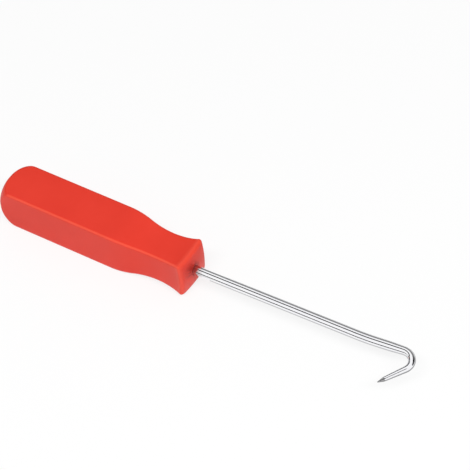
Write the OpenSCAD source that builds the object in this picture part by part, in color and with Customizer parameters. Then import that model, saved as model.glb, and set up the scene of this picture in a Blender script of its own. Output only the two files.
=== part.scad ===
// Hooked pick for lifting O-rings and seals: a bent, pointed steel shank moulded into a square handle.
// It lies on the grip's underside with the hook level. The origin is the middle of that underside,
// +X runs from the butt to the hook and the hook turns towards -Y. Millimetres.

/* [Handle] */
// Length of the handle, from the butt to the middle of the front face
handle_length = 78.1; // [60:0.1:110]
// Width across the flats of the square grip
grip_width = 16.65; // [14:0.05:24]
// Rounding of the four ridges
ridge_radius = 1.1; // [0.6:0.1:2]
// Length of the rounded butt, along a ridge
dome_length = 6.6; // [3:0.2:10]
// Width of the flat end of the butt
butt_flat = 9.4; // [6:0.2:11]
// Rounding of the edges round the front face
front_edge_radius = 1.3; // [0.4:0.1:2]
// Radius of the crowned front face
crown_radius = 52; // [30:1:200]

/* [Waist] */
// Depth of the waist below each flat of the grip
waist_depth = 1.85; // [0.8:0.05:3]
// Distance from the front face back to the narrowest place
neck_setback = 12; // [8:0.2:16]
// Radius of the rounded shoulder between grip and waist
shoulder_radius = 47; // [20:1:60]
// Radius of the hollow that runs through the waist to the front
waist_radius = 51; // [35:1:70]

/* [Shank] */
// Diameter of the shank
shank_d = 3.35; // [2:0.05:4.5]
// Lean of the shank from the handle's axis, away from the hook
shank_lean = 1.45; // [0:0.05:3]
// Offset of the shank from the middle of the front face, towards the hook
shank_offset = 0.3; // [0:0.05:0.6]
// Straight length of the shank in front of the handle
straight_length = 62.6; // [30:0.2:120]
// Length of the tang inside the handle
tang_length = 46; // [25:0.5:56]
// Width over the two ears that are pressed out of the tang
ear_span = 6; // [5:0.1:8]
// Thickness of the ears
ear_thickness = 1.4; // [0.8:0.1:1.8]
// Length of the ears along the tang
ear_length = 9; // [5:0.5:14]
// Distance of the ears from the end of the tang
ear_setback = 5; // [2:0.5:8]

/* [Hook] */
// Angle of the easy bend away from the hook
reverse_angle = 4.7; // [1:0.1:12]
// Centre line radius of the easy bend
reverse_radius = 98; // [40:1:150]
// Straight length between the easy bend and the hook's bend
run_length = 9.4; // [6:0.1:16]
// Angle that the hook's bend turns through
hook_angle = 128; // [80:1:140]
// Centre line radius of the hook's bend
hook_radius = 4.45; // [3:0.05:8]
// Length of the taper in front of the hook's bend
taper_lead = 5; // [1:0.1:5.5]
// Length of the tapered arm, from the bend to the ground point
arm_length = 7.9; // [4:0.1:20]
// Diameter of the arm where the ground point starts
arm_end_d = 1.6; // [1:0.1:1.9]
// Length of the ground point
point_length = 2.6; // [1:0.1:6]
// Diameter left on the tip of the point
tip_d = 0.3; // [0.1:0.05:0.6]

/* [Hidden] */
$fn = 96;

// How finely the skins are stepped: round the butt, the shoulder, the waist, the front edge and a ridge,
// and at which shares of the way from its middle to its rim the front face
butt_steps = 14;
shoulder_steps = 6;
waist_steps = 18;
edge_steps = 5;
ridge_steps = 6;
face_shares = [0.8, 0.6, 0.4];
// Sides of the hooked end's round section, and steps round its bend
hook_sides = 24;
hook_steps = 18;

// Grip, neck and ridges, measured from the axis
grip_half = grip_width / 2;
neck_half = grip_half - waist_depth;
ridge_share = sqrt(2) - 1;
ridge_half = grip_half * sqrt(2) - ridge_radius * ridge_share;
// Least flat that is left between two rounded ridges
flat_left = 0.4;
// The butt's rounding is shorter on the flats than along the ridges, so that its flat end is round
butt_half = butt_flat / 2;
flat_dome_length = dome_length * pow((grip_half - butt_half) / (ridge_half - butt_half), 2);

// Along the handle from the butt: neck, shoulder, where their arcs meet, and the front's round edge
neck_x = handle_length - neck_setback;
waist_run = sqrt(2 * (shoulder_radius + waist_radius) * waist_depth - pow(waist_depth, 2));
shoulder_x = neck_x - waist_run;
meet_x = shoulder_x + waist_run * shoulder_radius / (shoulder_radius + waist_radius);
edge_x = handle_length - front_edge_radius;
edge_half = neck_half + waist_radius - arc(waist_radius + front_edge_radius, edge_x - neck_x);
edge_start_x = neck_x + (edge_x - neck_x) * waist_radius / (waist_radius + front_edge_radius);
edge_start_angle = asin((edge_start_x - edge_x) / front_edge_radius);

// Middle of the flat underside, between the butt and the shoulder
rest_x = (dome_length + shoulder_x) / 2;

// Along the hooked end from the easy bend: starts of the taper, the arm and the ground point, and the tip
bend_length = hook_radius * hook_angle * PI / 180;
taper_start = run_length - taper_lead;
arm_start = run_length + bend_length;
point_start = arm_start + arm_length;
tip_end = point_start + point_length;
// The hooked end starts this much inside the rim of the bar that it grows from
rim_inset = 0.02;
hook_start_d = shank_d - 2 * rim_inset;

// Height of a circle at an offset from its middle
function arc(radius, offset) = sqrt(max(pow(radius, 2) - pow(offset, 2), 0));

// Half width across the flats, at x from the butt: butt, grip, shoulder, hollow waist and front edge
function flat_at(x) =
    x < flat_dome_length ? butt_half + (grip_half - butt_half) * arc(1, 1 - x / flat_dome_length)
    : x < shoulder_x ? grip_half
    : x < meet_x ? grip_half - shoulder_radius + arc(shoulder_radius, x - shoulder_x)
    : x < edge_start_x ? neck_half + waist_radius - arc(waist_radius, x - neck_x)
    : edge_half + arc(front_edge_radius, x - edge_x);

// Half width across the ridges: a dome at the butt, then the flats' outline less the ridges' rounding
function ridge_at(x) = x < dome_length
    ? butt_half + (ridge_half - butt_half) * arc(1, 1 - x / dome_length)
    : flat_at(x) * sqrt(2) - ridge_radius * ridge_share;

// How far the crown of the front face sets a point back. It grows from the neck to the face
function crown_at(x, y, z) =
    pow(max(x - neck_x, 0) / neck_setback, 2) * (pow(y, 2) + pow(z, 2)) / (2 * crown_radius);

// Section of the handle at x: a square whose corners are rounded just enough to reach the ridges' outline
function section(x) =
    let (
        half = min(flat_at(x), ridge_at(x)),
        wanted = (half * sqrt(2) - ridge_at(x)) / ridge_share,
        corner = min(max(wanted, ridge_radius), half - flat_left),
        middle = half - corner
    )
    [for (quarter = [0 : 3], i = [0 : ridge_steps])
        let (
            a = 90 * (quarter + i / ridge_steps),
            turn = 90 * quarter + 45,
            y = middle * sign(cos(turn)) + corner * cos(a),
            z = middle * sign(sin(turn)) + corner * sin(a)
        )
        [x - crown_at(x, y, z), y, z]];

// Ring on the front face, at a share of the way from its middle to its rim
function face_ring(share) =
    [for (p = section(handle_length))
        let (y = share * p[1], z = share * p[2])
        [handle_length - crown_at(handle_length, y, z), y, z]];

// Small flat ring in the middle of the front face, inside the shank's place
function core_ring() =
    let (share = shank_d / 4 / edge_half)
    [for (p = section(handle_length)) [handle_length, share * p[1], share * p[2]]];

// Angle that the hooked end has turned through, at a length along it
function turned(s) = hook_angle * min(max(s - run_length, 0), bend_length) / bend_length;

// Centre line of the hooked end: a straight run, the hook's bend and the arm
function centre(s) =
    let (turn = turned(s), arm = max(s - arm_start, 0))
    [
        min(s, run_length) + hook_radius * sin(turn) + arm * cos(turn),
        -hook_radius * (1 - cos(turn)) - arm * sin(turn),
        0
    ];

// Diameter of the hooked end: even at first, an even taper to the ground point, then the point's own
function hook_d(s) =
    s < taper_start ? hook_start_d
    : s < point_start
    ? hook_start_d + (arm_end_d - hook_start_d) * (s - taper_start) / (point_start - taper_start)
    : arm_end_d + (tip_d - arm_end_d) * (s - point_start) / point_length;

// Ring of points round the centre line of the hooked end
function ring(s) =
    let (radius = hook_d(s) / 2, turn = turned(s))
    [for (i = [0 : hook_sides - 1])
        let (a = 360 * i / hook_sides)
        centre(s) + radius * [cos(a) * sin(turn), cos(a) * cos(turn), sin(a)]];

// Closed skin over rings that have the same number of points
module skin(rings) {
    count = len(rings[0]);
    last = len(rings) - 1;
    sides = [
        for (k = [0 : last - 1], i = [0 : count - 1])
            let (
                a = k * count + i,
                b = k * count + (i + 1) % count,
                c = a + count,
                d = b + count
            )
            each [[a, d, b], [a, c, d]]
    ];
    start_cap = [for (i = [0 : count - 1]) i];
    end_cap = [for (i = [count - 1 : -1 : 0]) last * count + i];
    polyhedron([for (r = rings) each r], concat(sides, [start_cap, end_cap]));
}

// Handle before the tang's place is cut, along +X from the butt
module handle_body() {
    stations = concat(
        [for (i = [0 : butt_steps]) dome_length * (1 - cos(90 * i / butt_steps))],
        [for (i = [0 : shoulder_steps - 1]) shoulder_x + (meet_x - shoulder_x) * i / shoulder_steps],
        [for (i = [0 : waist_steps - 1]) meet_x + (edge_start_x - meet_x) * i / waist_steps],
        [for (i = [0 : edge_steps])
            edge_x + front_edge_radius * sin(edge_start_angle + (90 - edge_start_angle) * i / edge_steps)]
    );
    skin(concat(
        [for (x = stations) section(x)],
        [for (share = face_shares) face_ring(share)],
        [core_ring()]
    ));
}

// Round bar along +X
module bar(length) {
    rotate([0, 90, 0]) cylinder(d = shank_d, h = length);
}

// Hidden end of the shank, with two ears that stop it turning or pulling out. It runs on through the
// front face, so that the handle is clear of the leaning shank there too
module tang() {
    ear_slope = (ear_span - shank_d) / 2;
    ear_root = shank_d / 4;
    ear_top = ear_span / 2;
    translate([-tang_length, 0, 0]) bar(tang_length + shank_d);
    translate([ear_setback - tang_length, 0, 0])
        linear_extrude(ear_thickness, center = true)
            polygon([
                [0, ear_root],
                [ear_slope, ear_top],
                [ear_length - ear_slope, ear_top],
                [ear_length, ear_root],
                [ear_length, -ear_root],
                [ear_length - ear_slope, -ear_top],
                [ear_slope, -ear_top],
                [0, -ear_root]
            ]);
}

// Round bar bent to the left in an arc, starting along +X
module bent_bar(radius, angle) {
    translate([0, radius, 0])
        rotate([0, 0, -90])
            rotate_extrude(angle = angle)
                translate([radius, 0])
                    circle(d = shank_d);
}

// Hooked end: one skin along the run, the hook's bend, the arm and the ground point
module hooked_end() {
    stations = concat(
        [0, taper_start],
        [for (i = [0 : hook_steps]) run_length + bend_length * i / hook_steps],
        [point_start, tip_end]
    );
    skin([for (s = stations) ring(s)]);
}

// Puts what is modelled from the middle of the front face, along the shank, into the resting frame
module from_front() {
    translate([handle_length - rest_x, -shank_offset, grip_half]) rotate([0, 0, shank_lean]) children();
}

module handle() {
    color("red")
        difference() {
            translate([-rest_x, 0, grip_half]) handle_body();
            from_front() tang();
        }
}

module shank() {
    bend_end = reverse_radius * [sin(reverse_angle), 1 - cos(reverse_angle), 0];
    color("silver")
        from_front() {
            tang();
            bar(straight_length);
            translate([straight_length, 0, 0]) {
                bent_bar(reverse_radius, reverse_angle);
                translate(bend_end) rotate([0, 0, reverse_angle]) hooked_end();
            }
        }
}

handle();
shank();
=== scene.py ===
"""Looks of the hooked O-ring pick: moulded handle, bright bent shank, pale floor and soft light."""

import math

import bpy
import numpy as np
from mathutils import Matrix, Vector


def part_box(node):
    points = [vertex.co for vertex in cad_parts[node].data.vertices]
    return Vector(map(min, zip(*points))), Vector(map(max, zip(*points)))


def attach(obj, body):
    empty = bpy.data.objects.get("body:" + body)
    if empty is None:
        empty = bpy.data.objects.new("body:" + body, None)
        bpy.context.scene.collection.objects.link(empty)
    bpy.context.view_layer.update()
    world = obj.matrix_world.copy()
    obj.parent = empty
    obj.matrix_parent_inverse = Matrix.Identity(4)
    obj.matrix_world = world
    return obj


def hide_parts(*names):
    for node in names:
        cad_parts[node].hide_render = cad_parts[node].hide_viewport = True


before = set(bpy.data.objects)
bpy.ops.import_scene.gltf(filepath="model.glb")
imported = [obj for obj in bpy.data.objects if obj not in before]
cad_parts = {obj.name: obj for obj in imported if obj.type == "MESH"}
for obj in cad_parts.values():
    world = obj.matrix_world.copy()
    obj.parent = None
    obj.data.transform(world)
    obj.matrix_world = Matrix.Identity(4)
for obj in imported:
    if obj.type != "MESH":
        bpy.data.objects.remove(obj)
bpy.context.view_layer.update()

MM = 0.001

# Sizes that the frame gives
handle_low, handle_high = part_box("handle")
shank_low, shank_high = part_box("shank")
butt_x = handle_low.x
grip_half = (handle_high.z - handle_low.z) / 2
axis_z = (handle_high.z + handle_low.z) / 2
shank_radius = (shank_high.z - shank_low.z) / 2

# Handle, as in the solids
handle_length = 78.1 * MM
ridge_radius = 1.1 * MM
dome_length = 6.6 * MM
butt_half = 4.7 * MM
front_edge_radius = 1.3 * MM
crown_radius = 52 * MM
waist_depth = 1.85 * MM
neck_setback = 12 * MM
shoulder_radius = 47 * MM
waist_radius = 51 * MM
flat_left = 0.4 * MM

# Shank and hook, as in the solids
shank_lean = math.radians(1.45)
shank_offset = 0.3 * MM
tang_length = 46 * MM
straight_length = 62.6 * MM
reverse_angle = math.radians(4.7)
reverse_radius = 98 * MM
run_length = 9.4 * MM
hook_angle = math.radians(128)
hook_radius = 4.45 * MM
taper_lead = 5 * MM
arm_length = 7.9 * MM
arm_end_radius = 0.8 * MM
point_length = 2.6 * MM
tip_radius = 0.15 * MM


# Handle outline

front_x = butt_x + handle_length
neck_half = grip_half - waist_depth
ridge_share = math.sqrt(2) - 1
ridge_half = grip_half * math.sqrt(2) - ridge_radius * ridge_share
flat_dome_length = dome_length * ((grip_half - butt_half) / (ridge_half - butt_half)) ** 2
neck_x = handle_length - neck_setback
arcs_radius = shoulder_radius + waist_radius
waist_run = math.sqrt(2 * arcs_radius * waist_depth - waist_depth ** 2)
shoulder_x = neck_x - waist_run
meet_x = shoulder_x + waist_run * shoulder_radius / arcs_radius
edge_x = handle_length - front_edge_radius


def arc(radius, offset):
    """Height of a circle at an offset from its middle."""
    return math.sqrt(max(radius ** 2 - offset ** 2, 0))


edge_half = neck_half + waist_radius - arc(waist_radius + front_edge_radius, edge_x - neck_x)
edge_start_x = neck_x + (edge_x - neck_x) * waist_radius / (waist_radius + front_edge_radius)
edge_start_angle = math.asin((edge_start_x - edge_x) / front_edge_radius)


def flat_at(x):
    """Half width across the flats, at x from the butt."""
    if x < flat_dome_length:
        return butt_half + (grip_half - butt_half) * arc(1, 1 - x / flat_dome_length)
    if x < shoulder_x:
        return grip_half
    if x < meet_x:
        return grip_half - shoulder_radius + arc(shoulder_radius, x - shoulder_x)
    if x < edge_start_x:
        return neck_half + waist_radius - arc(waist_radius, x - neck_x)
    return edge_half + arc(front_edge_radius, x - edge_x)


def ridge_at(x):
    """Half width across the ridges, at x from the butt."""
    if x < dome_length:
        return butt_half + (ridge_half - butt_half) * arc(1, 1 - x / dome_length)
    return flat_at(x) * math.sqrt(2) - ridge_radius * ridge_share


def crowned(x, y, z):
    """Place in the frame of a point of the handle, set back by the crown of the front face."""
    share = max(x - neck_x, 0) / neck_setback
    return (butt_x + x - share ** 2 * (y ** 2 + z ** 2) / (2 * crown_radius), y, axis_z + z)


def section(x, corner_steps=12, flat_steps=8):
    """Points (y, z) round the handle at x, and how near each one is to a ridge's middle (1 there)."""
    half = min(flat_at(x), ridge_at(x))
    wanted = (half * math.sqrt(2) - ridge_at(x)) / ridge_share
    corner = min(max(wanted, ridge_radius), half - flat_left)
    middle = half - corner
    points = []
    for quarter in range(4):
        turn = math.pi / 2 * quarter
        rotation = np.array([[math.cos(turn), -math.sin(turn)], [math.sin(turn), math.cos(turn)]])
        for i in range(corner_steps + 1):
            a = math.pi / 2 * i / corner_steps
            place = rotation @ [middle + corner * math.cos(a), middle + corner * math.sin(a)]
            points.append((*place, math.sin(2 * a) * ridge_radius / corner))
        for i in range(1, flat_steps):
            place = rotation @ [middle - 2 * middle * i / flat_steps, half]
            points.append((*place, 0))
    return points


def spread(start, end, steps):
    """Even places from start up to, but not at, end."""
    return [start + (end - start) * i / steps for i in range(steps)]


# Meshes

def skin(name, rings, materials, attributes):
    """Closed smooth mesh over rings of equally many points, with named values at the points."""
    count = len(rings[0])
    last = len(rings) - 1
    faces = []
    for k in range(last):
        for i in range(count):
            j = (i + 1) % count
            faces.append((k * count + i, k * count + j, (k + 1) * count + j, (k + 1) * count + i))
    faces.append(tuple(reversed(range(count))))
    faces.append(tuple(last * count + i for i in range(count)))
    mesh = bpy.data.meshes.new(name)
    mesh.from_pydata([p for ring in rings for p in ring], [], faces)
    mesh.validate()
    for material in materials:
        mesh.materials.append(material)
    for title, (kind, field, values) in attributes.items():
        layer = mesh.attributes.new(title, kind, "POINT")
        layer.data.foreach_set(field, np.asarray(values, np.float32).ravel())
    mesh.shade_smooth()
    piece = bpy.data.objects.new(name, mesh)
    bpy.context.scene.collection.objects.link(piece)
    return piece


def painted_edge_highlight(s):
    """Soft ridge value for the painted highlight at s along the skin, from the middle of the front's rounded
    edge to the bore.
    """
    strength = 0.78
    middle = -0.7 * MM
    reach = 4.8 * MM
    return strength * math.cos(math.pi / 2 * min(abs(s - middle) / reach, 1)) ** 2


def root_value(y, z, bore):
    """Nearness of a place on the front face to the bore, which sets the painted shade there, and its
    direction from there.

    The nearness reaches furthest towards one ridge, and is less again at the bore's rim.
    """
    reach_round = 1.8 * MM
    reach_further = 3.6 * MM
    at_rim = 0.45
    streak_fineness = 3
    across = y + shank_offset
    reach = math.hypot(across, z)
    away = reach - bore
    towards_ridge = max(0, (z - across) / (reach * math.sqrt(2)))
    fade = 1 - away / (reach_round + reach_further * towards_ridge ** 2)
    near = max(0, min(fade, at_rim + away / reach_round))
    return (near, streak_fineness * across / reach, streak_fineness * z / reach)


def handle_stations():
    """Distances from the butt at which the handle's skin has its rings."""
    dome_steps = 28
    grip_steps = 12
    shoulder_steps = 14
    waist_steps = 28
    edge_steps = 10
    stations = [dome_length * (1 - math.cos(math.pi / 2 * i / dome_steps)) for i in range(dome_steps)]
    stations += spread(dome_length, shoulder_x, grip_steps)
    stations += spread(shoulder_x, meet_x, shoulder_steps)
    stations += spread(meet_x, edge_start_x, waist_steps)
    for i in range(edge_steps + 1):
        a = edge_start_angle + (math.pi / 2 - edge_start_angle) * i / edge_steps
        stations.append(edge_x + front_edge_radius * math.sin(a))
    return stations


def make_handle(material):
    """Moulded handle: domed butt, square grip, waist and flared front, bored for the tang."""
    face_rings = 14
    bore_lip = 0.5 * MM
    bore_gap = 0.02 * MM
    half_edge = front_edge_radius * math.pi / 4
    bore = shank_radius + bore_gap
    rings = []
    ridge = []
    root = []
    for x in handle_stations():
        points = section(x)
        turn = math.asin(min(max((x - edge_x) / front_edge_radius, 0), 1))
        # on_edge places the painted highlight along the front's rounded edge; the ridge values place it on
        # the long ridges too.
        on_edge = painted_edge_highlight(min(x - edge_x, 0) + front_edge_radius * turn - half_edge)
        rings.append([crowned(x, y, z) for y, z, _ in points])
        ridge += [max(near * math.cos(turn), on_edge) for _, _, near in points]
        root += [(0, 0, 0)] * len(points)
    rim = [(y, z) for y, z, _ in section(handle_length)]
    bore_rim = [
        (bore * y / math.hypot(y, z) - shank_offset, bore * z / math.hypot(y, z)) for y, z in rim
    ]
    for i in range(1, face_rings + 1):
        share = i / face_rings
        ring = []
        for (y0, z0), (y1, z1) in zip(rim, bore_rim):
            y = y0 + (y1 - y0) * share
            z = z0 + (z1 - z0) * share
            ring.append(crowned(handle_length, y, z))
            # Painted highlight running on from the front edge onto the face.
            ridge.append(painted_edge_highlight(half_edge + math.hypot(y - y0, z - z0)))
            # Values for the painted shade round the bore.
            root.append(root_value(y, z, bore))
        rings.append(ring)
    for depth in (bore_lip, tang_length):
        shift = depth * math.tan(shank_lean)
        rings.append([(front_x - depth, y - shift, axis_z + z) for y, z in bore_rim])
        ridge += [0] * len(bore_rim)
        root += [(1, 0, 0)] * len(bore_rim)
    return skin("handle_moulding", rings, [material], {
        "ridge": ("FLOAT", "value", ridge),
        "root": ("FLOAT_VECTOR", "vector", root),
    })


def bar_path(s):
    """Centre line of the bar, s from the front face: place, and direction in the level plane."""
    stretches = [
        (straight_length, 0),
        (reverse_radius * reverse_angle, 1 / reverse_radius),
        (run_length, 0),
        (hook_radius * hook_angle, -1 / hook_radius),
        (arm_length + point_length, 0),
    ]
    place = np.array([front_x, -shank_offset])
    heading = shank_lean
    left = s
    for length, curve in stretches:
        part = min(left, length)
        if curve:
            turn = part * curve
            place = place + np.array([
                math.sin(heading + turn) - math.sin(heading),
                math.cos(heading) - math.cos(heading + turn),
            ]) / curve
            heading += turn
        else:
            place = place + part * np.array([math.cos(heading), math.sin(heading)])
        left -= part
        if left <= 0:
            break
    return place, heading


run_start = straight_length + reverse_radius * reverse_angle
bend_start = run_start + run_length
taper_start = bend_start - taper_lead
arm_start = bend_start + hook_radius * hook_angle
point_start = arm_start + arm_length
tip_end = point_start + point_length
tip_start = tip_end - tip_radius


def bar_radius(s):
    """Radius of the bar: even to the taper in front of the hook, which runs to the ground point."""
    if s < taper_start:
        return shank_radius
    if s < point_start:
        share = (s - taper_start) / (point_start - taper_start)
        return shank_radius + (arm_end_radius - shank_radius) * share
    return arm_end_radius + (tip_radius - arm_end_radius) * (s - point_start) / point_length


def make_shank(chrome, ground):
    """Bent bar with its tang, hook and ground point in one sweep."""
    sides = 56
    tip_steps = 5
    steps_along = [
        (0, straight_length, 20),
        (straight_length, run_start, 16),
        (run_start, taper_start, 4),
        (taper_start, bend_start, 5),
        (bend_start, arm_start, 72),
        (arm_start, point_start, 14),
        (point_start, tip_start, 12),
    ]
    stations = [-tang_length, -tang_length / 2]
    for start, end, steps in steps_along:
        stations += spread(start, end, steps)
    radii = [bar_radius(s) for s in stations]
    for i in range(tip_steps):
        a = math.pi / 2 * i / tip_steps
        stations.append(tip_start + tip_radius * math.sin(a))
        radii.append(bar_radius(tip_start) * math.cos(a))
    rings = []
    sweep = []
    for s, radius in zip(stations, radii):
        (x, y), heading = bar_path(s)
        ring = []
        for i in range(sides):
            a = 2 * math.pi * i / sides
            level = radius * math.cos(a)
            ring.append((
                x - level * math.sin(heading),
                y + level * math.cos(heading),
                axis_z + radius * math.sin(a),
            ))
            sweep.append((s, level, radius * math.sin(a)))
        rings.append(ring)
    piece = skin("bent_shank", rings, [chrome, ground], {"sweep": ("FLOAT_VECTOR", "vector", sweep)})
    for face in piece.data.polygons:
        if stations[face.vertices[0] // sides] >= point_start:
            face.material_index = 1
    return piece


# Materials

def new_material(name):
    """Node material with its Principled shader."""
    material = bpy.data.materials.new(name)
    material.use_nodes = True
    tree = material.node_tree
    return material, tree, tree.nodes["Principled BSDF"]


def attribute(tree, name):
    """Node that reads a named value at the mesh's points."""
    node = tree.nodes.new("ShaderNodeAttribute")
    node.attribute_name = name
    return node


def first_part(tree, vector):
    """First of the three numbers of a vector output."""
    node = tree.nodes.new("ShaderNodeSeparateXYZ")
    tree.links.new(vector, node.inputs["Vector"])
    return node.outputs["X"]


def stretched(tree, vector, scales):
    """Vector output with each of its numbers times a scale."""
    node = tree.nodes.new("ShaderNodeVectorMath")
    node.operation = "MULTIPLY"
    node.inputs[1].default_value = scales
    tree.links.new(vector, node.inputs[0])
    return node.outputs["Vector"]


def noise(tree, vector, scale, detail):
    """Noise texture over a vector output."""
    node = tree.nodes.new("ShaderNodeTexNoise")
    node.inputs["Scale"].default_value = scale
    node.inputs["Detail"].default_value = detail
    tree.links.new(vector, node.inputs["Vector"])
    return node.outputs["Fac"]


def remap(tree, value, low, high, to_low, to_high):
    """Value moved from one range to another, held inside it."""
    node = tree.nodes.new("ShaderNodeMapRange")
    for title, number in (("From Min", low), ("From Max", high), ("To Min", to_low), ("To Max", to_high)):
        node.inputs[title].default_value = number
    tree.links.new(value, node.inputs["Value"])
    return node.outputs["Result"]


def blend_colours(tree, factor, first, second):
    """Colour between two colours, each a triple or an output."""
    node = tree.nodes.new("ShaderNodeMix")
    node.data_type = "RGBA"
    for title, colour in (("A", first), ("B", second)):
        if isinstance(colour, tuple):
            node.inputs[title].default_value = (*colour, 1)
        else:
            tree.links.new(colour, node.inputs[title])
    tree.links.new(factor, node.inputs["Factor"])
    return node.outputs["Result"]


def math_node(tree, operation, first, second):
    """Sum, product or the like of two outputs."""
    node = tree.nodes.new("ShaderNodeMath")
    node.operation = operation
    tree.links.new(first, node.inputs[0])
    tree.links.new(second, node.inputs[1])
    return node.outputs["Value"]


def bump(tree, shader, height, strength, depth):
    """Small relief from a height output."""
    node = tree.nodes.new("ShaderNodeBump")
    node.inputs["Strength"].default_value = strength
    node.inputs["Distance"].default_value = depth
    tree.links.new(height, node.inputs["Height"])
    tree.links.new(node.outputs["Normal"], shader.inputs["Normal"])


def red_plastic():
    """Satin moulded plastic: fine grain, slightly cloudy red, polished ridges with a painted highlight along
    them and the front edges, and painted shade in dark streaks round the root.
    """
    red = (0.76, 0.033, 0.014)
    lighter_red = (0.80, 0.039, 0.018)
    # Lighter red for the painted highlight on the ridges and front edges.
    painted_highlight_red = (0.90, 0.105, 0.058)
    # Dark red for the painted shade round the bore.
    root_shade_red = (0.32, 0.007, 0.006)
    material, tree, shader = new_material("red_moulded_plastic")
    place = tree.nodes.new("ShaderNodeTexCoord").outputs["Object"]
    ridge = attribute(tree, "ridge").outputs["Fac"]
    root = attribute(tree, "root").outputs["Vector"]
    clouds = remap(tree, noise(tree, place, scale=70, detail=3), 0.3, 0.7, 0, 1)
    # Painted highlight: the red is lighter where the ridge values are high.
    painted_ridge_highlight = remap(tree, ridge, 0.55, 1, 0, 0.7)
    # Painted shade in streaks round the bore, strongest near it.
    streaks = remap(tree, noise(tree, root, scale=1.5, detail=1), 0.32, 0.64, 0.35, 1)
    root_shade_mask = remap(tree, first_part(tree, root), 0, 0.65, 0, 0.72)
    shade = math_node(tree, "MULTIPLY", root_shade_mask, streaks)
    colour = blend_colours(tree, clouds, red, lighter_red)
    colour = blend_colours(tree, painted_ridge_highlight, colour, painted_highlight_red)
    colour = blend_colours(tree, shade, colour, root_shade_red)
    tree.links.new(colour, shader.inputs["Base Color"])
    grain = noise(tree, place, scale=2600, detail=2)
    flecks = remap(tree, grain, 0.3, 0.7, -0.03, 0.03)
    roughness = math_node(tree, "ADD", remap(tree, ridge, 0, 1, 0.42, 0.34), flecks)
    tree.links.new(roughness, shader.inputs["Roughness"])
    shader.inputs["Specular IOR Level"].default_value = 0.34
    bump(tree, shader, grain, strength=0.12, depth=0.03 * MM)
    return material


def bright_plating():
    """Plated bar: polished, with faint draw lines along it, and a painted shade with a painted red reflection
    of the handle where it leaves the handle.
    """
    plating = (0.90, 0.90, 0.93)
    brighter_plating = (0.94, 0.94, 0.955)
    # Painted shade, tinted red as a painted reflection of the handle, on the first millimetres out of the
    # handle.
    root_shade_and_reflection = (0.58, 0.47, 0.47)
    material, tree, shader = new_material("bright_plated_steel")
    sweep = attribute(tree, "sweep").outputs["Vector"]
    lines = noise(tree, stretched(tree, sweep, (60, 4000, 4000)), scale=1, detail=2)
    clouds = remap(tree, noise(tree, sweep, scale=160, detail=2), 0.3, 0.7, 0, 1)
    root_shade_share = remap(tree, first_part(tree, sweep), 1.5 * MM, 4 * MM, 1, 0)
    tint = blend_colours(tree, clouds, plating, brighter_plating)
    tree.links.new(blend_colours(tree, root_shade_share, tint, root_shade_and_reflection), shader.inputs["Base Color"])
    tree.links.new(remap(tree, lines, 0.3, 0.7, 0.06, 0.1), shader.inputs["Roughness"])
    shader.inputs["Metallic"].default_value = 1
    bump(tree, shader, lines, strength=0.01, depth=0.01 * MM)
    return material


def ground_steel():
    """Ground point: bare steel with fine grinding rings."""
    steel = (0.48, 0.48, 0.49)
    lighter_steel = (0.66, 0.66, 0.67)
    material, tree, shader = new_material("ground_steel_point")
    sweep = attribute(tree, "sweep").outputs["Vector"]
    rings = noise(tree, stretched(tree, sweep, (9000, 300, 300)), scale=1, detail=2)
    tint = blend_colours(tree, remap(tree, rings, 0.3, 0.7, 0, 1), steel, lighter_steel)
    tree.links.new(tint, shader.inputs["Base Color"])
    tree.links.new(remap(tree, rings, 0.3, 0.7, 0.08, 0.14), shader.inputs["Roughness"])
    shader.inputs["Metallic"].default_value = 1
    bump(tree, shader, rings, strength=0.05, depth=0.01 * MM)
    return material


# Stage

def seen_directly(tree):
    """1 for rays from the camera, in reflections and through glass, 0 for the light that falls on things."""
    path = tree.nodes.new("ShaderNodeLightPath")
    seen = math_node(tree, "MAXIMUM", path.outputs["Is Camera Ray"], path.outputs["Is Glossy Ray"])
    return math_node(tree, "MAXIMUM", seen, path.outputs["Is Transmission Ray"])


def make_world(fill):
    """White surroundings that light the object at the fill's level."""
    world = bpy.data.worlds.new("white_surroundings")
    bpy.context.scene.world = world
    world.use_nodes = True
    tree = world.node_tree
    background = tree.nodes["Background"]
    background.inputs["Color"].default_value = (1, 1, 1, 1)
    strength = remap(tree, seen_directly(tree), 0, 1, fill, 1)
    tree.links.new(strength, background.inputs["Strength"])


def make_sheet(name, corners):
    """Flat sheet with four corners, and the nodes of its material."""
    mesh = bpy.data.meshes.new(name)
    mesh.from_pydata(corners, [], [(0, 1, 2, 3)])
    sheet = bpy.data.objects.new(name, mesh)
    bpy.context.scene.collection.objects.link(sheet)
    material, tree, shader = new_material(name)
    mesh.materials.append(material)
    return sheet, tree, shader


def make_floor(size, paleness):
    """Pale floor that takes the object's shadow."""
    white = (0.93, 0.93, 0.93)
    brighter_white = (0.95, 0.95, 0.95)
    half = size / 2
    corners = [(-half, -half, 0), (half, -half, 0), (half, half, 0), (-half, half, 0)]
    floor, tree, shader = make_sheet("pale_floor", corners)
    place = tree.nodes.new("ShaderNodeTexCoord").outputs["Object"]
    colour = blend_colours(tree, noise(tree, place, scale=4, detail=3), white, brighter_white)
    tree.links.new(colour, shader.inputs["Base Color"])
    shader.inputs["Roughness"].default_value = 1
    shader.inputs["Specular IOR Level"].default_value = 0
    glow = tree.nodes.new("ShaderNodeEmission")
    glow.inputs["Strength"].default_value = 1
    mix = tree.nodes.new("ShaderNodeMixShader")
    tree.links.new(remap(tree, seen_directly(tree), 0, 1, 0, paleness), mix.inputs["Fac"])
    tree.links.new(shader.outputs["BSDF"], mix.inputs[1])
    tree.links.new(glow.outputs["Emission"], mix.inputs[2])
    tree.links.new(mix.outputs["Shader"], tree.nodes["Material Output"].inputs["Surface"])


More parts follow.
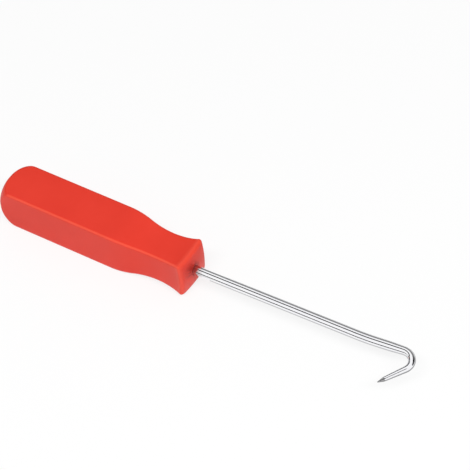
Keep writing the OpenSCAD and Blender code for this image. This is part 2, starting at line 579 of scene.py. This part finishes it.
def make_card(name, tone, corner, side, rise):
    """Card by the object that only reflections show, from one corner and two edges, in metres."""
    darker = (0.9 * tone,) * 3
    lighter = (1.1 * tone,) * 3
    corner, side, rise = Vector(corner), Vector(side), Vector(rise)
    corners = [corner, corner + side, corner + side + rise, corner + rise]
    card, tree, _ = make_sheet(name, corners)
    place = tree.nodes.new("ShaderNodeTexCoord").outputs["Object"]
    glow = tree.nodes.new("ShaderNodeEmission")
    colour = blend_colours(tree, noise(tree, place, scale=6, detail=2), darker, lighter)
    tree.links.new(colour, glow.inputs["Color"])
    tree.links.new(glow.outputs["Emission"], tree.nodes["Material Output"].inputs["Surface"])
    card.visible_camera = False
    card.visible_diffuse = False
    card.visible_shadow = False


def make_lamp(name, watts, length, width, place, aim):
    """Soft strip lamp that points at a place and doesn't show in reflections."""
    light = bpy.data.lights.new(name, "AREA")
    light.energy = watts
    light.shape = "RECTANGLE"
    light.size = length
    light.size_y = width
    lamp = bpy.data.objects.new(name, light)
    lamp.location = place
    lamp.rotation_euler = (Vector(aim) - Vector(place)).to_track_quat("-Z", "Y").to_euler()
    lamp.visible_glossy = False
    bpy.context.scene.collection.objects.link(lamp)


def make_camera(aim, distance, azimuth, elevation, roll, lens):
    """Camera that looks at a place from a direction, turned about its own axis."""
    data = bpy.data.cameras.new("photo_camera")
    data.sensor_width = 36
    data.lens = lens
    data.clip_start = 0.01
    camera = bpy.data.objects.new("photo_camera", data)
    bpy.context.scene.collection.objects.link(camera)
    back = Vector((
        math.cos(elevation) * math.cos(azimuth),
        math.cos(elevation) * math.sin(azimuth),
        math.sin(elevation),
    ))
    level = Vector((0, 0, 1)).cross(back).normalized()
    upright = back.cross(level)
    right = level * math.cos(roll) + upright * math.sin(roll)
    up = back.cross(right)
    rotation = Matrix((right, up, back)).transposed()
    camera.matrix_world = Matrix.Translation(Vector(aim) + back * distance) @ rotation.to_4x4()
    bpy.context.scene.camera = camera


bpy.context.scene.view_settings.view_transform = "Standard"

make_camera(
    aim=(55.17 * MM, 19.80 * MM, axis_z),
    distance=769.1 * MM,
    azimuth=math.radians(-54.127),
    elevation=math.radians(48.568),
    roll=math.radians(-5.815),
    lens=169.1,
)

handle = make_handle(red_plastic())
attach(handle, "root")
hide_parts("handle")

shank = make_shank(bright_plating(), ground_steel())
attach(shank, "root")
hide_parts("shank")

make_world(fill=0.46)
make_floor(size=8, paleness=0.8)
make_lamp("key_lamp", watts=8.5, length=1.4, width=0.16, place=(0.45, -0.3, 0.9), aim=(0.3, 0, 0.01))

# Cards that shape the reflections, those on the floor last
card_lift = 0.3 * MM
make_card("card_overhead", tone=0.02, corner=(-0.95, -0.2, 0.6), side=(1.5, 0, 0), rise=(0, 0.24, 0))
make_card("card_far_side", tone=0.24, corner=(-0.4, 0.6, 0), side=(0.7, 0, 0), rise=(0, 0, 0.75))
make_card("card_far_left", tone=0.02, corner=(-1.4, 0.6, 0), side=(1, 0, 0), rise=(0, 0, 0.75))
make_card("card_far_right", tone=0.02, corner=(0.3, 0.6, 0), side=(1, 0, 0), rise=(0, 0, 0.75))
make_card("card_near_side", tone=0.01, corner=(-1.4, -0.6, 0), side=(2.3, 0, 0), rise=(0, 0, 0.2))
make_card("card_left_side", tone=0.03, corner=(-1, -0.35, 0), side=(0, 0.85, 0), rise=(0, 0, 0.55))
make_card(
    "card_behind_camera",
    tone=0.015,
    corner=(0.42, -0.98, 0.15),
    side=(0.35, 0.27, 0),
    rise=(-0.25, 0.32, 0.9),
)
# The grey cards on the floor are painted shade: in reflections they show the floor darker under the handle,
# shank and hook.
make_card("shade_card_by_handle", tone=0.7, corner=(-0.03, -0.04, card_lift), side=(0.08, 0, 0), rise=(0, 0.031, 0))
make_card(
    "shade_card_under_shank", tone=0.58, corner=(0.055, -0.0075, card_lift), side=(0.075, 0, 0), rise=(0, 0.06, 0)
)
make_card("shade_card_under_hook", tone=0.35, corner=(0.13, -0.03, card_lift), side=(0.03, 0, 0), rise=(0, 0.06, 0))
